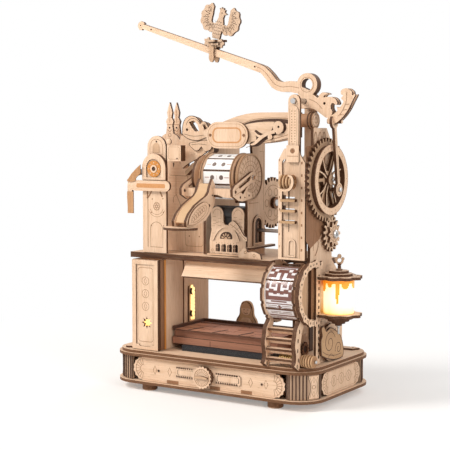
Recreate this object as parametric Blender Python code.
"""Wooden printing press model: laser cut plywood plates, gears, a hand lever and a lamp."""
import math

import bmesh
import bpy
from mathutils import Matrix, Vector

# Units and stock
MM = 0.001
PLY = 2.2 * MM
GAP = 0.3 * MM
GEAR_GAP = 1.0 * MM
SHAFT_RADIUS = 1.4 * MM

# Base box
BASE_LENGTH = 182.0 * MM
BASE_DEPTH = 108.0 * MM
BASE_CORNER = 22.0 * MM
BASE_LEDGE = 2.0 * MM
PANEL_SETBACK = 3.0 * MM
PANEL_HEIGHT = 18.7 * MM
FOOT_RADIUS = 6.0 * MM
FOOT_HEIGHT = 5.2 * MM
FOOT_FROM_END = 34.0 * MM
FOOT_FROM_SIDE = 9.0 * MM
FOOT_X = BASE_LENGTH / 2 - FOOT_FROM_END
FOOT_Y = BASE_DEPTH / 2 - FOOT_FROM_SIDE
KNOB_RADIUS = 7.8 * MM
BASE_FRAME = "base_frame"

FLOOR_Z = FOOT_HEIGHT + GAP
PANEL_Z = FLOOR_Z + PLY + GAP
LEDGE_Z = PANEL_Z + PANEL_HEIGHT + GAP + PLY
BASE_TOP = LEDGE_Z + PLY
PANEL_MID_Z = PANEL_Z + PANEL_HEIGHT / 2

# Deck and the two pedestals that carry it
PEDESTAL_HEIGHT = 71.0 * MM
PEDESTAL_Z = BASE_TOP + GAP
DECK_UNDER = PEDESTAL_Z + PEDESTAL_HEIGHT + GAP
DECK_TOP = DECK_UNDER + 2 * PLY
DECK_FRONT = -40.0 * MM
DECK_REAR = 38.0 * MM
LEFT_OUTER_X = -79.0 * MM
PEDESTAL_LEFT_X = -71.0 * MM
LEFT_INNER_X = -46.5 * MM
LEFT_FRONT_Y = -48.0 * MM
LEFT_REAR_Y = 23.0 * MM
APRON_DROP = 11.5 * MM
APRON_LEAN = 8.0 * MM

# Left tower
TOWER_LEFT = -66.7 * MM
TOWER_WIDTH = 22.4 * MM
TOWER_FRONT = DECK_FRONT
TOWER_ARCH_TOP = DECK_TOP + 77.6 * MM
ARCH_WIDTH = 17.4 * MM
ARCH_TOP = DECK_TOP + 91.4 * MM
ARCH_SETBACK = 3.0 * MM
BEARING_Z = DECK_TOP + 66.4 * MM
BEARING_RADIUS = 5.0 * MM
CROSSBAR_LEFT = TOWER_LEFT - 10.5 * MM
CROSSBAR_RIGHT = TOWER_LEFT + TOWER_WIDTH + 5.0 * MM
CROSSBAR_Z = DECK_TOP + 52.6 * MM
CROSSBAR_HEIGHT = 8.2 * MM
SPIRE_SHOULDER = DECK_TOP + 93.6 * MM
SPIRE_TOP = SPIRE_SHOULDER + 24.0 * MM
SPIRE_WIDTH = 5.0 * MM
SPIRE_Y = -19.0 * MM
SPIRE_SPACING = 9.5 * MM

# Housing, press facade and drum
HOUSING_LEFT = -18.0 * MM
HOUSING_RIGHT = 22.0 * MM
HOUSING_FRONT = -27.5 * MM
HOUSING_REAR = -2.0 * MM
HOUSING_TOP = DECK_TOP + 91.6 * MM
FACADE_LEFT = -10.5 * MM
FACADE_RIGHT = 22.0 * MM
FACADE_HEIGHT = 37.4 * MM
FACADE_FRONT = -30.2 * MM
PLATEN_TOP = DECK_TOP + GAP + FACADE_HEIGHT
PLATEN_DEPTH = 13.0 * MM
DRUM_Y = -28.0 * MM
DRUM_Z = DECK_TOP + 60.6 * MM
DRUM_RADIUS = 17.0 * MM
DRUM_LEFT = HOUSING_LEFT + 8.5 * MM
DRUM_FACETS = 10
DIAL_RADIUS = 18.0 * MM

# Hand lever
LINK_REACH = 27.0 * MM
LINK_ANGLE = math.radians(211.0)
GRIP_REACH = 41.0 * MM
GRIP_ANGLE = math.radians(214.0)
GRIP_SPACING = 10.0 * MM
GRIP_X = -2.0 * MM

# Top beam
BEAM_FRONT = -30.0 * MM
BEAM_REAR = -14.0 * MM
BEAM_LEFT = -16.0 * MM
BEAM_RIGHT = 60.0 * MM
BEAM_TOP = DECK_TOP + 109.1 * MM
BEAM_DEPTH = 18.5 * MM
PLAQUE_WIDTH = 37.0 * MM
PLAQUE_HEIGHT = 20.0 * MM
PLAQUE_X = 6.5 * MM
PLAQUE_Z = DECK_TOP + 92.1 * MM
END_DRUM_RADIUS = 6.0 * MM
END_DRUM_Z = DECK_TOP + 103.1 * MM
END_DRUM_RIGHT = BEAM_RIGHT + 17.0 * MM

# Right column
COLUMN_LEFT = 56.5 * MM
COLUMN_FRONT = DECK_FRONT
COLUMN_SHOULDER = DECK_TOP + 74.6 * MM
STRIP_WIDTH = 9.6 * MM
COLUMN_REAR_Y = -13.3 * MM
SIDE_WALL_X = COLUMN_LEFT + 22.5 * MM
COLUMN_RIGHT = SIDE_WALL_X - GAP
SIDE_WALL_TOP = DECK_TOP + 97.6 * MM
SIDE_WALL_FRONT = -21.0 * MM
SIDE_WALL_REAR = 14.0 * MM
SIDE_WALL_UPPER_REAR = -4.0 * MM
BRACKET_WIDTH = 4.5 * MM
PIVOT_X = COLUMN_LEFT + 12.1 * MM
PIVOT_Z = DECK_TOP + 117.1 * MM
PIVOT_RADIUS = 2.0 * MM

# Gear train
GEAR_MODULE = 1.4 * MM
BIG_TEETH = 42
PINION_TEETH = 17
HOUSING_PINION_TEETH = 21
HOUSING_TEETH = 27
HOUSING_GEAR_LEAN = math.radians(35.5)
HOUSING_GEAR_X = 16.0 * MM
GEAR_X = SIDE_WALL_X + PLY + 1.3 * MM
SHAFT_Y = -10.5 * MM
SHAFT_Z = DECK_TOP + 19.4 * MM
BIG_GEAR_Y = -18.5 * MM
GEAR_DISTANCE = GEAR_MODULE * (BIG_TEETH + PINION_TEETH) / 2
BIG_GEAR_Z = SHAFT_Z + math.sqrt(GEAR_DISTANCE ** 2 - (BIG_GEAR_Y - SHAFT_Y) ** 2)
HOUSING_DISTANCE = GEAR_MODULE * (HOUSING_PINION_TEETH + HOUSING_TEETH) / 2
HOUSING_GEAR_Y = SHAFT_Y + HOUSING_DISTANCE * math.cos(HOUSING_GEAR_LEAN)
HOUSING_GEAR_Z = SHAFT_Z + HOUSING_DISTANCE * math.sin(HOUSING_GEAR_LEAN)
CRANK_RADIUS = 8.2 * MM
CRANK_ANGLE = math.radians(-62.5)

# Eagle lever
LEVER_Y = -22.0 * MM
LEVER_THICKNESS = 6.4 * MM
LEVER_RING = 8.4 * MM
LEVER_RING_BORE = 4.5 * MM
HOOK_X = GEAR_X + 9.1 * MM
LEVER_ARM_END = HOOK_X - 2.2 * MM
HOOK_Z = PIVOT_Z - 15.0 * MM
ROD_JOINT = (PIVOT_X - 38.6 * MM, PIVOT_Z + 24.9 * MM)
ROD_END = (PIVOT_X - 148.3 * MM, PIVOT_Z + 61.1 * MM)
BALANCE_ROD_RADIUS = 2.1 * MM
HOOK_RADIUS = 1.3 * MM
BIRD_X = PIVOT_X - 80.3 * MM
BIRD_HEIGHT = 28.0 * MM

# Picture drum, ladder and lamp
REEL_LEFT = 50.0 * MM
REEL_RIGHT = SIDE_WALL_X - 2 * GAP
REEL_Y = -33.0 * MM
REEL_Z = DECK_TOP - 22.8 * MM
REEL_RADIUS = 21.5 * MM
REEL_RIM = 23.5 * MM
LAMP_X = SIDE_WALL_X + 14.3 * MM
LAMP_Y = -15.6 * MM
LAMP_Z = DECK_TOP - 38.0 * MM
LAMP_HEIGHT = 25.0 * MM
LAMP_RADIUS = 11.2 * MM

# Tray, type plate and small ornaments
TRAY_LEFT = -45.0 * MM
TRAY_RIGHT = 48.5 * MM
TRAY_FRONT = -28.0 * MM
TRAY_REAR = TRAY_FRONT + 42.0 * MM
TRAY_TOP = BASE_TOP + 15.1 * MM
BED_LEFT = TRAY_LEFT + 11.0 * MM
BED_FRONT = TRAY_FRONT - 7.0 * MM
BED_HEIGHT = 4.0 * MM
ROLLER_Y = -BASE_DEPTH / 2 + 10.0 * MM
DISC_RADIUS = 14.0 * MM
DISC_Y = -9.5 * MM
FIGURE_X = -9.0 * MM
FIGURE_Y = 22.0 * MM
FIGURE_HEIGHT = 34.0 * MM

# Finishes: base colour, roughness, metallic
BASSWOOD = ((0.74, 0.56, 0.37, 1.0), 0.62, 0.0)
WALNUT = ((0.30, 0.15, 0.10, 1.0), 0.55, 0.0)
SLATE = ((0.05, 0.06, 0.08, 1.0), 0.5, 0.0)
STEEL = ((0.45, 0.45, 0.45, 1.0), 0.3, 1.0)
FROSTED = ((0.95, 0.83, 0.55, 1.0), 0.35, 0.0)
BLACK = ((0.03, 0.028, 0.027, 1.0), 0.5, 0.0)

FRONT = (math.pi / 2, 0.0, 0.0)
SIDE = (math.pi / 2, 0.0, math.pi / 2)
FLAT = (0.0, 0.0, 0.0)


def arc(cx, cy, radius, start, end, steps):
    """Points on an arc, angles in degrees."""
    points = []
    for i in range(steps + 1):
        angle = math.radians(start + (end - start) * i / steps)
        points.append((cx + radius * math.cos(angle), cy + radius * math.sin(angle)))
    return points


def circle(cx, cy, radius, steps=16):
    return arc(cx, cy, radius, 0, 360 * (steps - 1) / steps, steps - 1)


def rectangle(left, bottom, right, top):
    return [(left, bottom), (right, bottom), (right, top), (left, top)]


def rounded(left, bottom, right, top, radius, steps=6):
    points = arc(right - radius, bottom + radius, radius, -90, 0, steps)
    points += arc(right - radius, top - radius, radius, 0, 90, steps)
    points += arc(left + radius, top - radius, radius, 90, 180, steps)
    points += arc(left + radius, bottom + radius, radius, 180, 270, steps)
    return points


def arched(left, bottom, right, top, steps=12):
    """A window or plate with a half round top."""
    radius = (right - left) / 2
    return [(left, bottom), (right, bottom)] + arc(left + radius, top - radius, radius, 0, 180, steps)


def scalloped(length, height, lobes=7, depth=0.9 * MM):
    """A plaque whose two ends carry a row of scallops."""
    radius = height / 2
    middle = length / 2 - radius
    points = []
    for side, start in ((1, -90), (-1, 90)):
        for i in range(lobes * 4 + 1):
            share = i / (lobes * 4)
            reach = radius - depth * (0.5 - 0.5 * math.cos(share * lobes * 2 * math.pi))
            angle = math.radians(start + 180 * share)
            points.append((side * middle + reach * math.cos(angle), reach * math.sin(angle)))
    return points


def gear_outline(teeth, height=0.9):
    """Trapezoid teeth on the pitch circle, four points a tooth."""
    pitch = GEAR_MODULE * teeth / 2
    points = []
    for i in range(teeth):
        for share, step in ((-0.30, -1.15), (-0.13, height), (0.13, height), (0.30, -1.15)):
            angle = 2 * math.pi * (i + share) / teeth
            reach = pitch + step * GEAR_MODULE
            points.append((reach * math.cos(angle), reach * math.sin(angle)))
    return points


def turned(points, angle):
    cosine = math.cos(angle)
    sine = math.sin(angle)
    return [(x * cosine - y * sine, x * sine + y * cosine) for x, y in points]


def shifted(points, dx, dy):
    return [(x + dx, y + dy) for x, y in points]


def plate(outline, thickness, holes=()):
    """A flat sheet cut to an outline, from the z = 0 plane upwards."""
    bm = bmesh.new()
    edges = []
    for loop in (outline, *holes):
        verts = [bm.verts.new((x, y, 0.0)) for x, y in loop]
        for i, vert in enumerate(verts):
            edges.append(bm.edges.new((vert, verts[(i + 1) % len(verts)])))
    bmesh.ops.triangle_fill(bm, edges=edges, use_beauty=True)
    made = bmesh.ops.extrude_face_region(bm, geom=list(bm.faces))
    top = [item for item in made["geom"] if isinstance(item, bmesh.types.BMVert)]
    bmesh.ops.translate(bm, verts=top, vec=(0.0, 0.0, thickness))
    bmesh.ops.recalc_face_normals(bm, faces=list(bm.faces))
    return bm


def turned_solid(profile, steps=24):
    """A closed (radius, z) profile spun about z; the profile starts and ends on the axis."""
    bm = bmesh.new()
    verts = [bm.verts.new((radius, 0.0, z)) for radius, z in profile]
    edges = [bm.edges.new((verts[i], verts[i + 1])) for i in range(len(verts) - 1)]
    bmesh.ops.spin(bm, geom=verts + edges, cent=(0, 0, 0), axis=(0, 0, 1), angle=2 * math.pi,
                   steps=steps, use_merge=True)
    bmesh.ops.remove_doubles(bm, verts=list(bm.verts), dist=0.01 * MM)
    bmesh.ops.recalc_face_normals(bm, faces=list(bm.faces))
    return bm


def rod(radius, length, steps=14):
    return turned_solid([(0, 0), (radius, 0), (radius, length), (0, length)], steps)


def moved(bm, offset=(0, 0, 0), turn=(0, 0, 0)):
    """The same shape turned by Euler angles and then shifted, still in its own frame."""
    matrix = Matrix.Translation(Vector(offset))
    matrix = matrix @ Matrix.Rotation(turn[2], 4, "Z") @ Matrix.Rotation(turn[1], 4, "Y")
    matrix = matrix @ Matrix.Rotation(turn[0], 4, "X")
    bmesh.ops.transform(bm, matrix=matrix, verts=list(bm.verts))
    return bm


def carry(obj, at, facing):
    """Places an object in the base's own frame, whose empty stands at the middle of the base."""
    obj.parent = bpy.data.objects[BASE_FRAME]
    obj.location = at
    obj.rotation_euler = facing
    bpy.context.scene.collection.objects.link(obj)


def add_object(name, bm, finish, at=(0, 0, 0), facing=FLAT):
    mesh = bpy.data.meshes.new(name)
    bm.to_mesh(mesh)
    bm.free()
    mesh.shade_smooth()
    mesh.set_sharp_from_angle(angle=math.radians(35))
    obj = bpy.data.objects.new(name, mesh)
    carry(obj, at, facing)
    colour, roughness, metallic = finish
    material = bpy.data.materials.new(name)
    material.use_nodes = True
    shader = material.node_tree.nodes["Principled BSDF"]
    shader.inputs["Base Color"].default_value = colour
    shader.inputs["Roughness"].default_value = roughness
    shader.inputs["Metallic"].default_value = metallic
    mesh.materials.append(material)
    return obj


def boolean_object(name, body, extras, finish, at=(0, 0, 0), facing=FLAT, cuts=()):
    """One closed body made from several overlapping shapes, with bores cut through them afterwards."""
    obj = add_object(name, body, finish, at, facing)
    steps = [(extra, "UNION") for extra in extras] + [(cut, "DIFFERENCE") for cut in cuts]
    for number, (extra, operation) in enumerate(steps):
        tool_mesh = bpy.data.meshes.new(f"{name}_tool_{number}")
        extra.to_mesh(tool_mesh)
        extra.free()
        tool = bpy.data.objects.new(f"{name}_tool_{number}", tool_mesh)
        carry(tool, at, facing)
        tool.hide_render = True
        tool.display_type = "WIRE"
        modifier = obj.modifiers.new(f"{operation.lower()}_{number}", "BOOLEAN")
        modifier.operation = operation
        modifier.solver = "EXACT"
        modifier.object = tool
    return obj


def build_base():
    half_length = BASE_LENGTH / 2
    half_depth = BASE_DEPTH / 2
    outline = rounded(-half_length, -half_depth, half_length, half_depth, BASE_CORNER)
    add_object("base_floor_plate", plate(outline, PLY), BASSWOOD, (0, 0, FLOOR_Z))
    for name, sx, sy in (("front_left", -1, -1), ("front_right", 1, -1),
                         ("rear_left", -1, 1), ("rear_right", 1, 1)):
        profile = [(0, 0), (FOOT_RADIUS - 0.8 * MM, 0), (FOOT_RADIUS, 0.8 * MM),
                   (FOOT_RADIUS, FOOT_HEIGHT), (0, FOOT_HEIGHT)]
        add_object(f"foot_{name}", turned_solid(profile, 16), BASSWOOD, (sx * FOOT_X, sy * FOOT_Y, 0))
    inner = 2 * PANEL_SETBACK
    corner = BASE_CORNER - PANEL_SETBACK
    front_length = BASE_LENGTH - inner - 2 * corner - 2 * GAP
    side_length = BASE_DEPTH - inner - 2 * corner - 2 * GAP
    knob_hole = circle(-1 * MM, 0, SHAFT_RADIUS + GAP)
    front = half_depth - PANEL_SETBACK
    side = half_length - PANEL_SETBACK
    mid = PANEL_MID_Z
    front_plate = plate(scalloped(front_length, PANEL_HEIGHT), PLY, [knob_hole])
    add_object("base_front_panel", front_plate, BASSWOOD, (0, -front + PLY, mid), FRONT)
    add_object("base_rear_panel", plate(scalloped(front_length, PANEL_HEIGHT), PLY), BASSWOOD,
               (0, front, mid), FRONT)
    for name, x in (("base_right_panel", side - PLY), ("base_left_panel", -side)):
        add_object(name, plate(scalloped(side_length, PANEL_HEIGHT, 5), PLY), BASSWOOD, (x, 0, mid), SIDE)
    bend = math.degrees(1.2 * GAP / corner)
    for name, sx, sy in (("front_right", 1, -1), ("rear_right", 1, 1),
                         ("rear_left", -1, 1), ("front_left", -1, -1)):
        start = math.degrees(math.atan2(sy, sx)) - 45
        shell = arc(0, 0, corner, start + bend, start + 90 - bend, 12)
        shell += arc(0, 0, corner - PLY, start + 90 - bend, start + bend, 12)
        place = (sx * (half_length - BASE_CORNER), sy * (half_depth - BASE_CORNER), PANEL_Z)
        add_object(f"corner_pilaster_{name}", plate(shell, PANEL_HEIGHT), BASSWOOD, place)
    ledge = BASE_LEDGE
    upper = rounded(ledge - half_length, ledge - half_depth, half_length - ledge, half_depth - ledge,
                    BASE_CORNER - ledge)
    boolean_object("base_top", plate(outline, PLY), [moved(plate(upper, 1.5 * PLY), (0, 0, PLY / 2))],
                   BASSWOOD, (0, 0, LEDGE_Z - PLY))
    knob = plate([((KNOB_RADIUS - 0.5 * MM * (i % 2)) * math.cos(i * math.pi / 16),
                   (KNOB_RADIUS - 0.5 * MM * (i % 2)) * math.sin(i * math.pi / 16))
                  for i in range(32)], PLY)
    grip = moved(plate(rounded(-4 * MM, -1 * MM, 4 * MM, 1 * MM, 0.9 * MM, 3), PLY), (0, 0, PLY / 2))
    stem = moved(rod(SHAFT_RADIUS, 2 * PLY + 2 * GAP, 12), (0, 0, -1.5 * PLY))
    boolean_object("front_knob", knob, [grip, stem], BASSWOOD,
                   (-1 * MM, -front - GAP, mid), FRONT)


def build_left_pedestal():
    left, right = PEDESTAL_LEFT_X, LEFT_INNER_X
    star = []
    for i in range(16):
        reach = 5.0 * MM if i % 2 == 0 else 2.6 * MM
        star.append((reach * math.cos(i * math.pi / 8), reach * math.sin(i * math.pi / 8)))
    window = shifted(star, (left + right) / 2 + 1.2 * MM, 21.5 * MM)
    front = plate(rectangle(left, 0, right, PEDESTAL_HEIGHT), PLY, [window])
    add_object("left_pedestal_front", front, BASSWOOD, (0, LEFT_FRONT_Y + PLY, PEDESTAL_Z), FRONT)
    start = LEFT_FRONT_Y + PLY + GAP
    wall = rectangle(start, 0, LEFT_REAR_Y, PEDESTAL_HEIGHT)
    add_object("left_pedestal_inner_wall", plate(wall, PLY), BASSWOOD, (right - PLY, 0, PEDESTAL_Z), SIDE)
    arch = arched(start + 12 * MM, 12 * MM, LEFT_REAR_Y - 12 * MM, PEDESTAL_HEIGHT - 12 * MM)
    add_object("left_pedestal_outer_wall", plate(wall, PLY, [arch]), BASSWOOD, (left, 0, PEDESTAL_Z), SIDE)


def build_deck():
    notch_y = REEL_Y + REEL_RIM + 1.5 * MM
    notch_x = REEL_LEFT - 1.0 * MM
    end = SIDE_WALL_X - GAP
    outline = [(LEFT_OUTER_X, DECK_FRONT), (notch_x, DECK_FRONT), (notch_x, notch_y), (end, notch_y),
               (end, DECK_REAR), (LEFT_OUTER_X, DECK_REAR)]
    add_object("deck", plate(outline, 2 * PLY), BASSWOOD, (0, 0, DECK_UNDER))
    run = math.hypot(APRON_DROP, APRON_LEAN)
    lean = math.atan2(APRON_LEAN, APRON_DROP)
    board = plate(rectangle(-29 * MM, -run, notch_x - GAP, 0), PLY)
    place = (0, DECK_FRONT + APRON_LEAN, DECK_UNDER - GAP - PLY * math.sin(lean))
    add_object("deck_apron", board, BASSWOOD, place, (math.pi / 2 - lean, 0, 0))


def build_left_tower():
    foot = DECK_TOP + GAP
    middle = TOWER_LEFT + TOWER_WIDTH / 2
    right = TOWER_LEFT + TOWER_WIDTH
    outline = arched(TOWER_LEFT, 0, right, TOWER_ARCH_TOP - foot)
    bearing = circle(middle, BEARING_Z - foot, BEARING_RADIUS)
    front = plate(outline, PLY, [bearing])
    add_object("left_tower_front", front, BASSWOOD, (0, TOWER_FRONT + PLY, foot), FRONT)
    inner = arched(middle - ARCH_WIDTH / 2, 0, middle + ARCH_WIDTH / 2, ARCH_TOP - foot)
    peep = circle(middle, ARCH_TOP - foot - 4.5 * MM, 0.8 * MM, 8)
    add_object("left_tower_arch", plate(inner, PLY, [peep]), BASSWOOD,
               (0, TOWER_FRONT + ARCH_SETBACK + PLY, foot), FRONT)
    bar = rounded(CROSSBAR_LEFT, -CROSSBAR_HEIGHT / 2, CROSSBAR_RIGHT, CROSSBAR_HEIGHT / 2,
                  CROSSBAR_HEIGHT / 2 - 0.1 * MM, 6)
    rim_x = TOWER_LEFT - GAP
    reach = rim_x - CROSSBAR_LEFT + 2.6 * MM
    rim = arc(rim_x, 0, reach, 180, 92, 10) + arc(rim_x, 0, reach - 4.5 * MM, 92, 180, 10)
    leg = rectangle(rim_x - reach, -22 * MM, rim_x - reach + 4.5 * MM, 1 * MM)
    bar_front = TOWER_FRONT - GAP
    boolean_object("left_tower_crossbar", plate(bar, PLY),
                   [moved(plate(rim, PLY), (0, 0, 0)), moved(plate(leg, PLY))],
                   BASSWOOD, (0, bar_front, CROSSBAR_Z), FRONT)
    for name, y in (("left_spire_front", SPIRE_Y), ("left_spire_rear", SPIRE_Y + SPIRE_SPACING)):
        half = SPIRE_WIDTH / 2
        shoulder = SPIRE_SHOULDER - foot
        tip = SPIRE_TOP - foot
        points = [(TOWER_LEFT, 0), (right, 0)]
        points += arc(middle, shoulder - TOWER_WIDTH / 2, TOWER_WIDTH / 2, 0, 72, 8)
        points += [(middle + half, shoulder + 6 * MM), (middle + half + 1 * MM, shoulder + 9 * MM),
                   (middle + half * 0.7, shoulder + 12 * MM), (middle + half, shoulder + 16 * MM),
                   (middle, tip)]
        points += [(2 * middle - x, z) for x, z in reversed(points[11:-1])]
        points += arc(middle, shoulder - TOWER_WIDTH / 2, TOWER_WIDTH / 2, 108, 180, 8)
        hole = circle(middle, shoulder + 4 * MM, 0.8 * MM, 8)
        add_object(name, plate(points, PLY, [hole]), BASSWOOD, (0, y + PLY, foot), FRONT)


def build_housing():
    foot = DECK_TOP + GAP
    top = HOUSING_TOP - foot
    axis_z = DRUM_Z - foot
    lobe = DRUM_RADIUS - 1.0 * MM
    neck = PLATEN_TOP - foot
    outline = [(HOUSING_FRONT, 0), (HOUSING_REAR, 0), (HOUSING_REAR, top), (DRUM_Y + 6 * MM, top)]
    outline += arc(DRUM_Y, axis_z, lobe, 60, 270, 14)
    outline += [(HOUSING_FRONT, neck)]
    axle = circle(DRUM_Y, axis_z, SHAFT_RADIUS + GAP, 12)
    slot = arched(SHAFT_Y - 3.2 * MM, SHAFT_Z - foot - 10 * MM, SHAFT_Y + 3.2 * MM, SHAFT_Z - foot + 8 * MM)
    add_object("housing_right_wall", plate(outline, PLY, [axle, slot]), BASSWOOD,
               (HOUSING_RIGHT - PLY, 0, foot), SIDE)
    spindle = circle(HOUSING_GEAR_Y, HOUSING_GEAR_Z - foot, SHAFT_RADIUS + GAP, 12)
    journal = circle(SHAFT_Y, SHAFT_Z - foot, SHAFT_RADIUS + GAP, 12)
    rear = HOUSING_GEAR_Y + 5 * MM
    outline[1] = (rear, 0)
    outline[2] = (rear, top)
    add_object("housing_left_wall", plate(outline, PLY, [axle, spindle, journal]), BASSWOOD,
               (HOUSING_LEFT, 0, foot), SIDE)
    width = FACADE_RIGHT - FACADE_LEFT
    mid = (FACADE_LEFT + FACADE_RIGHT) / 2
    dome = 5.6 * MM
    shelf = FACADE_HEIGHT - 3 * dome
    points = [(-width / 2, 0), (width / 2, 0), (width / 2, shelf * 0.55), (width / 2 - 2 * MM, shelf)]
    points += [(width / 2 - 1.5 * MM, shelf), (width / 2 - 1.5 * MM, shelf + 8 * MM)]
    points += arc(9.4 * MM, FACADE_HEIGHT - dome, dome, 0, 180, 10)
    points += arc(0, FACADE_HEIGHT - dome - 5 * MM, 9.4 * MM - dome, 0, -180, 8)
    points += arc(-9.4 * MM, FACADE_HEIGHT - dome, dome, 0, 180, 10)
    points += [(1.5 * MM - width / 2, shelf + 8 * MM), (1.5 * MM - width / 2, shelf)]
    points += [(2 * MM - width / 2, shelf), (-width / 2, shelf * 0.55)]
    windows = [arched(x - 1.2 * MM, 3 * MM, x + 1.2 * MM, 9 * MM, 6)
               for x in (-8.1 * MM, -2.7 * MM, 2.7 * MM, 8.1 * MM)]
    fan = arched(-4.4 * MM, 13.5 * MM, 4.4 * MM, 18.5 * MM, 8)
    add_object("castle_facade", plate(points, PLY, windows + [fan]), BASSWOOD,
               (mid, FACADE_FRONT + PLY, foot), FRONT)
    back = FACADE_FRONT + PLY + GAP
    block = plate(rounded(FACADE_LEFT + 1 * MM, 0, HOUSING_GEAR_X - GEAR_GAP, PLATEN_TOP - foot, 2 * MM, 4),
                  PLATEN_DEPTH)
    add_object("platen_block", block, BLACK, (0, back + PLATEN_DEPTH, foot), FRONT)


def build_drum():
    left = DRUM_LEFT
    length = HOUSING_RIGHT - PLY - GAP - left
    sides = [(DRUM_RADIUS * math.cos(2 * math.pi * (i + 0.5) / DRUM_FACETS),
              DRUM_RADIUS * math.sin(2 * math.pi * (i + 0.5) / DRUM_FACETS)) for i in range(DRUM_FACETS)]
    core = plate(sides, length)
    rims = [plate(circle(0, 0, DIAL_RADIUS, 32), PLY)]
    rims += [moved(plate(circle(0, 0, DIAL_RADIUS, 32), PLY), (0, 0, length - PLY))]
    shaft_left = HOUSING_LEFT + GAP - 8 * MM
    shaft_right = HOUSING_RIGHT - GAP + 8 * MM
    shaft = moved(rod(SHAFT_RADIUS, shaft_right - shaft_left), (0, 0, shaft_left - left))
    boolean_object("calendar_drum", core, rims + [shaft], BASSWOOD, (left, DRUM_Y, DRUM_Z), SIDE)
    dial = plate(circle(0, 0, DIAL_RADIUS, 36), PLY, [circle(0, 0, SHAFT_RADIUS + GAP, 12)])
    add_object("drum_dial", dial, BASSWOOD, (HOUSING_RIGHT + GAP, DRUM_Y, DRUM_Z), SIDE)


def smooth(points, steps=5):
    """A Catmull-Rom curve through the given points."""
    ends = [points[0]] + list(points) + [points[-1]]
    result = []
    for i in range(1, len(ends) - 2):
        a, b, c, d = (Vector(p) for p in ends[i - 1:i + 3])
        for k in range(steps):
            t = k / steps
            result.append(0.5 * (2 * b + (c - a) * t + (2 * a - 5 * b + 4 * c - d) * t ** 2
                                 + (3 * b - a - 3 * c + d) * t ** 3))
    result.append(Vector(ends[-2]))
    return result


def ribbon(points, widths, steps=5):
    """The outline of a stroke of changing width along a smooth line."""
    line = smooth(points, steps)
    spread = smooth([(w, 0) for w in widths], steps)
    left = []
    right = []
    for i, here in enumerate(line):
        along = line[min(i + 1, len(line) - 1)] - line[max(i - 1, 0)]
        side = Vector((-along.y, along.x)).normalized() * max(spread[i].x, 0.2 * MM) / 2
        left.append(tuple(here + side))
        right.append(tuple(here - side))
    return right + left[::-1]


def build_hand_lever():
    link_x = HOUSING_RIGHT + PLY + 2 * GAP
    far_x = HOUSING_LEFT - PLY - GAP
    end = (LINK_REACH * math.cos(LINK_ANGLE), LINK_REACH * math.sin(LINK_ANGLE))
    eye = circle(0, 0, SHAFT_RADIUS + GAP, 12)
    capsule = arc(0, 0, 4.5 * MM, 121, -59, 8) + arc(end[0], end[1], 4.5 * MM, 301, 121, 8)
    bodies = [plate(capsule[::-1], PLY, [eye])]
    near = moved(plate(capsule[::-1], PLY, [circle(0, 0, SHAFT_RADIUS + GAP, 12)]), (0, 0, far_x - link_x))
    bar = rounded(end[0] - 2.8 * MM, end[1] - 2.8 * MM, end[0] + 2.8 * MM, end[1] + 2.8 * MM, 1 * MM, 3)
    cross = moved(plate(bar, link_x - far_x + 0.5 * PLY), (0, 0, far_x - link_x + 0.5 * PLY))
    tip = (end[0] + GRIP_REACH * math.cos(GRIP_ANGLE), end[1] + GRIP_REACH * math.sin(GRIP_ANGLE))
    mid = ((end[0] + tip[0]) / 2, (end[1] + tip[1]) / 2)
    leaf = ribbon([end, mid, tip], [4 * MM, 17 * MM, 4 * MM], 7)
    leaves = [moved(plate(leaf, PLY), (0, 0, GRIP_X + side * GRIP_SPACING / 2 - PLY / 2 - link_x))
              for side in (-1, 1)]
    rest = rounded(tip[0] - 1.2 * MM, tip[1] - 1.5 * MM, tip[0] + 6 * MM, tip[1] + 1.5 * MM, 1 * MM, 3)
    pad = moved(plate(rest, 2 * GRIP_SPACING), (0, 0, GRIP_X - GRIP_SPACING - link_x))
    boolean_object("hand_lever", bodies[0], [near, cross, *leaves, pad], BASSWOOD,
                   (link_x, DRUM_Y, DRUM_Z), SIDE)


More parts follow.
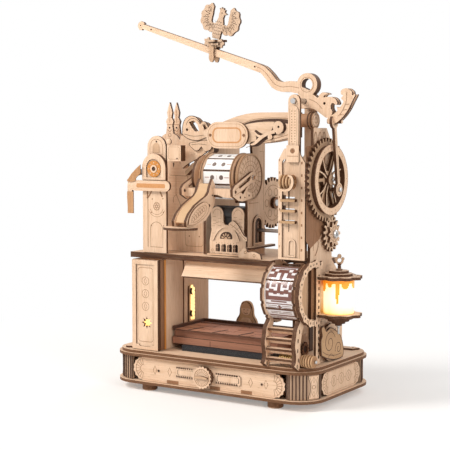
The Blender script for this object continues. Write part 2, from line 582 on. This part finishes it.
def build_beam():
    under = HOUSING_TOP + GAP
    step = HOUSING_RIGHT + GAP
    top = [(BEAM_LEFT, under + 3 * MM)]
    span = BEAM_RIGHT - BEAM_LEFT
    for i in range(1, 11):
        share = i / 10
        rise = (BEAM_TOP - under - 3 * MM) * math.sin(min(1.0, share * 1.5) * math.pi / 2)
        top.append((BEAM_LEFT + span * share, under + 3 * MM + rise))
    low = [(BEAM_RIGHT - (BEAM_RIGHT - step) * i / 6,
            BEAM_TOP - BEAM_DEPTH - 5 * MM * math.sin(i / 6 * math.pi / 2)) for i in range(7)]
    outline = [(BEAM_LEFT, under), *top, *low, (step, under)]
    add_object("beam_front", plate(outline[::-1], PLY), BASSWOOD, (0, BEAM_FRONT + PLY, 0), FRONT)
    skin = top + [(x, z - PLY) for x, z in reversed(top)]
    depth = BEAM_REAR - BEAM_FRONT - PLY - GAP
    boolean_object("beam_rear", plate(outline[::-1], PLY), [plate(skin[::-1], depth + 0.5 * PLY)],
                   BASSWOOD, (0, BEAM_REAR + PLY, 0), FRONT)
    plaque = rounded(-PLAQUE_WIDTH / 2, -PLAQUE_HEIGHT / 2, PLAQUE_WIDTH / 2, PLAQUE_HEIGHT / 2,
                     PLAQUE_HEIGHT / 2 - 0.1 * MM, 8)
    screws = [circle(side * (PLAQUE_WIDTH / 2 - 4 * MM), 0, 0.9 * MM, 8) for side in (-1, 1)]
    add_object("name_plaque", plate(plaque, PLY, screws), BASSWOOD,
               (PLAQUE_X, BEAM_FRONT - GAP, PLAQUE_Z), FRONT)
    length = END_DRUM_RIGHT - BEAM_RIGHT - GAP
    profile = [(0, 0), (END_DRUM_RADIUS - 1 * MM, 0), (END_DRUM_RADIUS - 1 * MM, length - 2 * PLY),
               (END_DRUM_RADIUS, length - 2 * PLY), (END_DRUM_RADIUS, length), (0, length)]
    add_object("beam_end_drum", turned_solid(profile), BASSWOOD,
               (BEAM_RIGHT + GAP, LEVER_Y, END_DRUM_Z), (0, math.pi / 2, 0))


def column_outline(bottom, left=COLUMN_LEFT):
    half = STRIP_WIDTH / 2
    shoulder = COLUMN_SHOULDER
    strip = PIVOT_Z
    points = [(left, bottom), (COLUMN_RIGHT, bottom), (COLUMN_RIGHT, shoulder - 4 * MM)]
    points += [(COLUMN_RIGHT - 3 * MM, shoulder), (PIVOT_X + half, shoulder + 3 * MM)]
    points += arc(PIVOT_X, strip, half, 0, 180, 8)
    points += [(PIVOT_X - half, shoulder + 3 * MM), (left + 5 * MM, shoulder), (left, shoulder - 6 * MM)]
    return points


def build_column():
    bottom = REEL_Z + REEL_RIM + 1.0 * MM
    bore = circle(PIVOT_X, PIVOT_Z, PIVOT_RADIUS + GAP, 12)
    panel = arched(COLUMN_LEFT + 7 * MM, bottom + 3 * MM, COLUMN_LEFT + 13 * MM, bottom + 17 * MM, 8)
    slits = [rectangle(COLUMN_LEFT + 4 * MM, z, COLUMN_LEFT + 13 * MM, z + 1.2 * MM)
             for z in (137 * MM, 145.5 * MM, 154 * MM)]
    add_object("column_front", plate(column_outline(bottom), PLY, [bore, *slits]), BASSWOOD,
               (0, COLUMN_FRONT + PLY, 0), FRONT)
    add_object("column_rear", plate(column_outline(bottom), PLY, [bore, panel]), BASSWOOD,
               (0, COLUMN_REAR_Y, 0), FRONT)
    length = COLUMN_REAR_Y - COLUMN_FRONT + 4 * MM
    pin = turned_solid([(0, 0), (PIVOT_RADIUS, 0), (PIVOT_RADIUS, length), (0, length)], 16)
    add_object("lever_pin", pin, STEEL, (PIVOT_X, COLUMN_REAR_Y + 2 * MM, PIVOT_Z), FRONT)
    front = SIDE_WALL_FRONT
    rear = SIDE_WALL_REAR
    upper_front = COLUMN_FRONT + PLY + GAP
    spread = math.degrees(math.acos((front - REEL_Y) / REEL_RIM))
    inner = REEL_RIM - BRACKET_WIDTH
    inner_spread = math.degrees(math.acos((front - REEL_Y) / inner))
    outline = [(rear, PEDESTAL_Z), (front, PEDESTAL_Z)]
    outline += arc(REEL_Y, REEL_Z, REEL_RIM, 360 - spread, 102, 18)
    outline += [(upper_front, bottom + 3 * MM), (upper_front, COLUMN_SHOULDER - 12 * MM),
                (upper_front + 4 * MM, COLUMN_SHOULDER), (upper_front + 4 * MM, SIDE_WALL_TOP),
                (COLUMN_REAR_Y, SIDE_WALL_TOP), (SIDE_WALL_UPPER_REAR, SIDE_WALL_TOP - 12 * MM),
                (SIDE_WALL_UPPER_REAR, DECK_TOP), (rear, DECK_UNDER - 12 * MM)]
    window = arc(REEL_Y, REEL_Z, inner, 360 - inner_spread, inner_spread, 16)
    holes = [window, circle(BIG_GEAR_Y, BIG_GEAR_Z, SHAFT_RADIUS + GAP, 12),
             circle(SHAFT_Y, SHAFT_Z, SHAFT_RADIUS + GAP, 12)]
    holes += [arched(y - 1.6 * MM, 186 * MM, y + 1.6 * MM, 196 * MM, 6) for y in (-27 * MM, -20 * MM)]
    add_object("column_side_wall", plate(outline[::-1], PLY, holes), BASSWOOD, (SIDE_WALL_X, 0, 0), SIDE)
    wall = rectangle(REEL_Y + REEL_RIM + 2 * MM, 0, 25 * MM, PEDESTAL_HEIGHT)
    add_object("right_pedestal_inner_wall", plate(wall, PLY), BASSWOOD, (REEL_LEFT, 0, PEDESTAL_Z), SIDE)


def build_gears():
    rim = GEAR_MODULE * BIG_TEETH / 2 - 4.4 * MM
    windows = []
    spokes = 6
    for i in range(spokes):
        start = 360 / spokes * i + 3.5
        stop = 360 / spokes * (i + 1) - 3.5
        outer = arc(0, 0, rim - 4.0 * MM, start, stop, 8)
        windows.append(outer + arc(0, 0, 6.5 * MM, stop - 6, start + 6, 4))
    big = plate(gear_outline(BIG_TEETH), PLY, windows)
    ring = moved(plate(circle(0, 0, rim, 48), 2 * PLY, [circle(0, 0, rim - 4.2 * MM, 48)]), (0, 0, PLY / 2))
    hub = moved(plate(circle(0, 0, 4.0 * MM, 16), 2 * PLY), (0, 0, PLY / 2))
    crank = (CRANK_RADIUS * math.cos(CRANK_ANGLE), CRANK_RADIUS * math.sin(CRANK_ANGLE))
    arm = moved(plate(ribbon([(0, 0), (crank[0] / 2, crank[1] / 2), crank], [5 * MM, 4.4 * MM, 4 * MM], 3),
                      PLY), (0, 0, PLY))
    pin = moved(rod(1.6 * MM, HOOK_X - PLY / 2 - GAP - GEAR_X - PLY), (crank[0], crank[1], PLY))
    axle = moved(rod(SHAFT_RADIUS, 2 * PLY + 14 * MM), (0, 0, -14 * MM))
    boolean_object("big_gear", big, [ring, hub, arm, pin, axle], BASSWOOD,
                   (GEAR_X, BIG_GEAR_Y, BIG_GEAR_Z), SIDE)
    lean = math.atan2(SHAFT_Z - BIG_GEAR_Z, SHAFT_Y - BIG_GEAR_Y)
    pinion = plate(turned(gear_outline(PINION_TEETH), pinion_turn(lean, BIG_TEETH, PINION_TEETH)), PLY,
                   [circle(0, 0, SHAFT_RADIUS + GAP, 12)])
    star = []
    for i in range(20):
        reach = 9.8 * MM if i % 2 == 0 else 6.4 * MM
        star.append((reach * math.cos(i * math.pi / 10), reach * math.sin(i * math.pi / 10)))
    front = moved(plate(star, 1.5 * PLY, [circle(0, 0, SHAFT_RADIUS + GAP, 12)]), (0, 0, PLY / 2))
    boolean_object("pinion", pinion, [front], BASSWOOD, (GEAR_X, SHAFT_Y, SHAFT_Z), SIDE)
    left = HOUSING_LEFT - 2 * MM
    shaft = rod(SHAFT_RADIUS, GEAR_X + 2 * PLY + 2 * MM - left)
    add_object("drive_shaft", shaft, STEEL, (left, SHAFT_Y, SHAFT_Z), SIDE)
    inner = plate(gear_outline(HOUSING_PINION_TEETH), PLY, [circle(0, 0, SHAFT_RADIUS + GAP, 12)])
    add_object("housing_pinion", inner, BASSWOOD, (HOUSING_GEAR_X, SHAFT_Y, SHAFT_Z), SIDE)
    turn = pinion_turn(HOUSING_GEAR_LEAN, HOUSING_PINION_TEETH, HOUSING_TEETH)
    wheel = plate(turned(gear_outline(HOUSING_TEETH), turn), PLY)
    spindle = moved(rod(SHAFT_RADIUS, HOUSING_GEAR_X + PLY + 1 * MM - left), (0, 0, left - HOUSING_GEAR_X))
    cap = moved(plate(circle(0, 0, 4 * MM, 16), PLY), (0, 0, PLY / 2))
    boolean_object("housing_gear", wheel, [cap, spindle], BASSWOOD,
                   (HOUSING_GEAR_X, HOUSING_GEAR_Y, HOUSING_GEAR_Z), SIDE)


def pinion_turn(lean, driver_teeth, driven_teeth):
    """How far a driven gear is turned so that its gap meets the driver's tooth along the line of centres."""
    driver_phase = (lean / (2 * math.pi / driver_teeth)) % 1.0
    return lean + math.pi + (driver_phase + 0.5) * 2 * math.pi / driven_teeth


def build_eagle_lever():
    joint = (ROD_JOINT[0] - PIVOT_X, ROD_JOINT[1] - PIVOT_Z)
    arm = ribbon([joint, (joint[0] + 3.6 * MM, joint[1] - 1.3 * MM), (-27.6 * MM, 16.5 * MM),
                  (-19.6 * MM, 10.8 * MM), (-8.6 * MM, 10.5 * MM), (-1.6 * MM, 7.5 * MM)],
                 [4.6 * MM, 5 * MM, 6 * MM, 7 * MM, 8 * MM, 9 * MM], 4)
    ring_at = (2.4 * MM, 12 * MM)
    hub = plate(circle(0, 0, 5.4 * MM, 24), LEVER_THICKNESS)
    deep = LEVER_THICKNESS + 2 * MM
    through = moved(plate(turned(circle(0, 0, PIVOT_RADIUS + GAP, 16), 0.1), deep), (0, 0, -1 * MM))
    ring_bore = moved(plate(circle(*ring_at, LEVER_RING_BORE, 20), deep), (0, 0, -1 * MM))
    hook_x = HOOK_X - PIVOT_X
    hook_z = HOOK_Z - PIVOT_Z
    arm_end = LEVER_ARM_END - PIVOT_X
    tail = ribbon([(4.0 * MM, 3.0 * MM), (9.4 * MM, 1.0 * MM), (15.4 * MM, -6.5 * MM),
                   (arm_end - 2 * MM, hook_z + 1 * MM)], [7 * MM, 10 * MM, 11 * MM, 6 * MM], 4)
    curl = ribbon([(hook_x + 3 * MM, hook_z - 1 * MM), (hook_x + 5.9 * MM, hook_z + 4.5 * MM),
                   (hook_x + 9.4 * MM, hook_z + 12.5 * MM), (hook_x + 10.4 * MM, hook_z + 22.5 * MM)],
                  [3.4 * MM, 6.5 * MM, 8 * MM, 5.5 * MM], 4)
    fin = ribbon([(hook_x + 9.4 * MM, hook_z + 7.5 * MM), (hook_x + 13.9 * MM, hook_z + 13.5 * MM),
                  (hook_x + 17.9 * MM, hook_z + 19.5 * MM)], [3.6 * MM, 2.6 * MM, 1.6 * MM], 3)
    hook = moved(rod(HOOK_RADIUS, hook_x - arm_end + 7.4 * MM, 12),
                 (arm_end - 3 * MM, hook_z, LEVER_THICKNESS / 2), (0, math.pi / 2, 0))
    neck = ribbon([(-2.6 * MM, 2.6 * MM), (-1 * MM, 6 * MM), (0, 9 * MM)], [7 * MM] * 3, 2)
    outlines = [neck, circle(*ring_at, LEVER_RING, 28), arm, tail, curl, fin]
    step = 0.06 * MM
    bodies = [moved(plate(outline, LEVER_THICKNESS - 2 * step * (k + 1)), (0, 0, step * (k + 1)))
              for k, outline in enumerate(outlines)] + [hook]
    rear = LEVER_Y + LEVER_THICKNESS / 2
    boolean_object("eagle_lever", hub, bodies, BASSWOOD, (PIVOT_X, rear, PIVOT_Z), FRONT,
                   [through, ring_bore])
    run = Vector((ROD_JOINT[0] - ROD_END[0], ROD_JOINT[1] - ROD_END[1]))
    angle = math.atan2(run.x, run.y)
    length = run.length - 0.6 * MM
    profile = [(0, -3.4 * MM), (2.6 * MM, -2.4 * MM), (3.3 * MM, 0), (2.6 * MM, 2.2 * MM)]
    profile += [(1.4 * MM, 3.0 * MM), (BALANCE_ROD_RADIUS, 4.2 * MM), (BALANCE_ROD_RADIUS, length)]
    profile += [(0, length)]
    add_object("balance_rod", turned_solid(profile, 12), BASSWOOD, (ROD_END[0], LEVER_Y, ROD_END[1]),
               (0, angle, 0))
    foot = ROD_END[1] + (BIRD_X - ROD_END[0]) * run.y / run.x + BALANCE_ROD_RADIUS / math.cos(angle - math.pi / 2)
    base = foot + 3.2 * MM
    body = plate(ribbon([(0, 0), (1 * MM, 8 * MM), (3.4 * MM, 14 * MM), (6.5 * MM, 22 * MM)],
                        [7 * MM, 7 * MM, 8 * MM, 5 * MM], 4), PLY)
    left = plate(ribbon([(2 * MM, 12 * MM), (-6 * MM, 8 * MM), (-10.5 * MM, 15 * MM), (-7 * MM, 23 * MM),
                         (0, BIRD_HEIGHT)], [3 * MM, 7 * MM, 9.5 * MM, 8 * MM, 2 * MM], 5), PLY)
    right = plate(ribbon([(3 * MM, 12 * MM), (11 * MM, 5 * MM), (18 * MM, 8 * MM), (21 * MM, 15 * MM),
                          (16 * MM, 23 * MM)], [3 * MM, 7 * MM, 9.5 * MM, 8 * MM, 2 * MM], 5), PLY)
    beak = plate([(6 * MM, 20 * MM), (11 * MM, 19.5 * MM), (7 * MM, 23 * MM)], PLY)
    perch = moved(plate(circle(0, 0, 8 * MM, 18), PLY), (0, PLY, PLY / 2), (math.pi / 2, 0, 0))
    cheek = 1.6 * MM
    clasp = [moved(plate(rounded(-5 * MM, -9 * MM, 3 * MM, 1 * MM, 2 * MM, 3), cheek),
                   (0, 0, PLY / 2 + side * (BALANCE_ROD_RADIUS + GAP) - (cheek if side < 0 else 0)))
             for side in (-1, 1)]
    boolean_object("perched_bird", body, [left, right, beak, perch, *clasp], BASSWOOD,
                   (BIRD_X, LEVER_Y + PLY / 2, base), FRONT)


def build_connecting_rod():
    crank_y = BIG_GEAR_Y + CRANK_RADIUS * math.cos(CRANK_ANGLE)
    crank_z = BIG_GEAR_Z + CRANK_RADIUS * math.sin(CRANK_ANGLE)
    foot = (crank_y - LEVER_Y, crank_z - HOOK_Z)
    reach = math.hypot(*foot)
    lean = math.atan2(foot[1], foot[0])
    along = (math.cos(lean), math.sin(lean))
    neck = 4.6 * MM
    bar = ribbon([(along[0] * neck, along[1] * neck), (along[0] * reach / 2, along[1] * reach / 2),
                  (along[0] * (reach - neck), along[1] * (reach - neck))], [3.4 * MM] * 3, 3)
    eye = plate(circle(0, 0, 5 * MM, 20), PLY, [circle(0, 0, 2.3 * MM, 14)])
    lower = plate(circle(foot[0], foot[1], 5 * MM, 20), PLY)
    boolean_object("connecting_rod", eye, [plate(bar, PLY), lower], BASSWOOD,
                   (HOOK_X - PLY / 2, LEVER_Y, HOOK_Z), SIDE)


def build_reel_and_ladder():
    length = REEL_RIGHT - REEL_LEFT
    profile = [(0, 0), (REEL_RIM, 0), (REEL_RIM, PLY), (REEL_RADIUS, PLY), (REEL_RADIUS, length - PLY),
               (REEL_RIM, length - PLY), (REEL_RIM, length), (0, length)]
    add_object("picture_drum", turned_solid(profile, 40), BASSWOOD, (REEL_LEFT, REEL_Y, REEL_Z),
               (0, math.pi / 2, 0))
    low = LEDGE_Z + GAP - REEL_Z
    rail_top = -math.sqrt((REEL_RIM + GAP) ** 2 - (12 * MM) ** 2)
    foot_y = -BASE_DEPTH / 2 + BASE_LEDGE - 2.5 * GAP - REEL_Y - 0.4 * MM
    head = (-12 * MM, rail_top - 2.6 * MM)
    foot = (foot_y, BASE_TOP + 1.2 * MM - REEL_Z)
    middle = [(head[0] + (foot[0] - head[0]) * y, head[1] + (foot[1] - head[1]) * z)
              for y, z in ((0, 0), (0.67, 0.34), (1.05, 0.65), (1, 1))]
    rail = ribbon(middle + [(foot_y, low)], [4 * MM, 4.8 * MM, 4.4 * MM, 2 * MM, 1.5 * MM], 4)
    rail = [(y, max(z, low)) for y, z in rail]
    line = smooth(middle, 8)
    width = length - PLY
    treads = []
    for share in (0.32, 0.59, 0.86):
        y, z = line[round(share * (len(line) - 1))]
        tread = rectangle(y - 1.2 * MM, z - PLY / 2, y + 3.6 * MM, z + PLY / 2)
        treads.append(moved(plate(tread, width), (0, 0, PLY / 2)))
    boolean_object("ladder", plate(rail, PLY), [moved(plate(rail, PLY), (0, 0, width)), *treads], BASSWOOD,
                   (REEL_LEFT, REEL_Y, REEL_Z), SIDE)


def build_lamp():
    wall = SIDE_WALL_X + PLY + GAP
    glass = [(0, 0), (LAMP_RADIUS, 0), (LAMP_RADIUS, LAMP_HEIGHT), (0, LAMP_HEIGHT)]
    add_object("lamp_glass", turned_solid(glass, 32), FROSTED, (LAMP_X, LAMP_Y, LAMP_Z))
    leaf = []
    for i in range(48):
        angle = 2 * math.pi * i / 48
        reach = 16.0 * MM + 1.3 * MM * math.cos(8 * angle)
        leaf.append((max(reach * math.cos(angle), wall - LAMP_X), reach * math.sin(angle)))
    top_z = LAMP_Z + LAMP_HEIGHT + GAP
    cap = [(0, PLY / 2), (9.4 * MM, PLY / 2), (9.4 * MM, 2 * PLY), (2 * MM, 2 * PLY), (1.4 * MM, 7.5 * MM),
           (1.4 * MM, 9.5 * MM), (2.6 * MM, 12 * MM), (2.2 * MM, 15 * MM), (0, 16.5 * MM)]
    boolean_object("lamp_top", plate(leaf, PLY), [turned_solid(cap, 20)], BASSWOOD, (LAMP_X, LAMP_Y, top_z))
    bowl = [(0, -15.5 * MM), (0.9 * MM, -15.5 * MM), (0.9 * MM, -7 * MM), (4 * MM, -6.4 * MM)]
    bowl += [(6 * MM, -3 * MM), (9.4 * MM, -1.4 * MM), (9.4 * MM, PLY / 2), (0, PLY / 2)]
    boolean_object("lamp_base", plate(leaf, PLY), [turned_solid(bowl, 20)], BASSWOOD,
                   (LAMP_X, LAMP_Y, LAMP_Z - GAP - PLY))


def build_tray():
    bed_z = BASE_TOP + GAP
    bed = rounded(BED_LEFT, BED_FRONT, TRAY_RIGHT, TRAY_REAR, 1 * MM, 2)
    add_object("type_plate", plate(bed, BED_HEIGHT), SLATE, (0, 0, bed_z))
    tray_z = bed_z + BED_HEIGHT + GAP
    depth = TRAY_REAR - TRAY_FRONT
    height = TRAY_TOP - tray_z
    section = [(TRAY_FRONT - 3 * MM, 0), (TRAY_REAR, 0), (TRAY_REAR, height)]
    slats = 4
    for i in range(slats, 0, -1):
        y = TRAY_FRONT + depth * i / slats
        if i < slats:
            section += [(y + 0.5 * MM, height), (y, height - 1.2 * MM), (y - 0.5 * MM, height)]
    section += [(TRAY_FRONT, height), (TRAY_FRONT, height - 5 * MM), (TRAY_FRONT - 3 * MM, height - 5 * MM)]
    tray = plate(section, TRAY_RIGHT - TRAY_LEFT)
    add_object("type_tray", tray, WALNUT, (TRAY_LEFT, 0, tray_z), SIDE)


def build_ornaments():
    seat = BASE_TOP + GAP
    profile = ribbon([(0, 0), (0, 8 * MM), (1 * MM, 17 * MM), (0.5 * MM, 25 * MM)],
                     [20 * MM, 19 * MM, 13 * MM, 6 * MM], 4)
    profile = [(x, max(z, 0)) for x, z in profile]
    head = plate(circle(0.5 * MM, FIGURE_HEIGHT - 5.2 * MM, 5.0 * MM, 16), PLY)
    boolean_object("seated_figure", plate(profile, PLY), [head], WALNUT, (FIGURE_X, FIGURE_Y, seat), FRONT)
    disc = circle(0, 0, DISC_RADIUS, 36)
    bore = circle(0, 0, 2 * MM, 12)
    add_object("side_disc", plate(disc, PLY, [bore]), BASSWOOD,
               (SIDE_WALL_X + PLY + 1 * MM, DISC_Y, seat + DISC_RADIUS), SIDE)
    grooves = [(0, 0), (1.8 * MM, 0), (1.8 * MM, 7 * MM), (4.2 * MM, 7 * MM), (4.2 * MM, 15 * MM)]
    for i in range(4):
        z = 15 * MM + i * 2.6 * MM
        grooves += [(3.2 * MM, z), (3.2 * MM, z + 1 * MM), (4.6 * MM, z + 1 * MM), (4.6 * MM, z + 2.6 * MM)]
    grooves += [(0, grooves[-1][1])]
    add_object("ink_roller", turned_solid(grooves, 16), BASSWOOD,
               (COLUMN_LEFT - 3.5 * MM, ROLLER_Y, seat + 4.6 * MM), (0, math.pi / 2, 0))


def main():
    for obj in list(bpy.data.objects):
        bpy.data.objects.remove(obj, do_unlink=True)
    middle = bpy.data.objects.new(BASE_FRAME, None)
    middle.location = (FOOT_X, FOOT_Y, 0)
    bpy.context.scene.collection.objects.link(middle)
    build_base()
    build_left_pedestal()
    build_deck()
    build_left_tower()
    build_housing()
    build_drum()
    build_hand_lever()
    build_beam()
    build_column()
    build_gears()
    build_eagle_lever()
    build_connecting_rod()
    build_reel_and_ladder()
    build_lamp()
    build_tray()
    build_ornaments()


main()
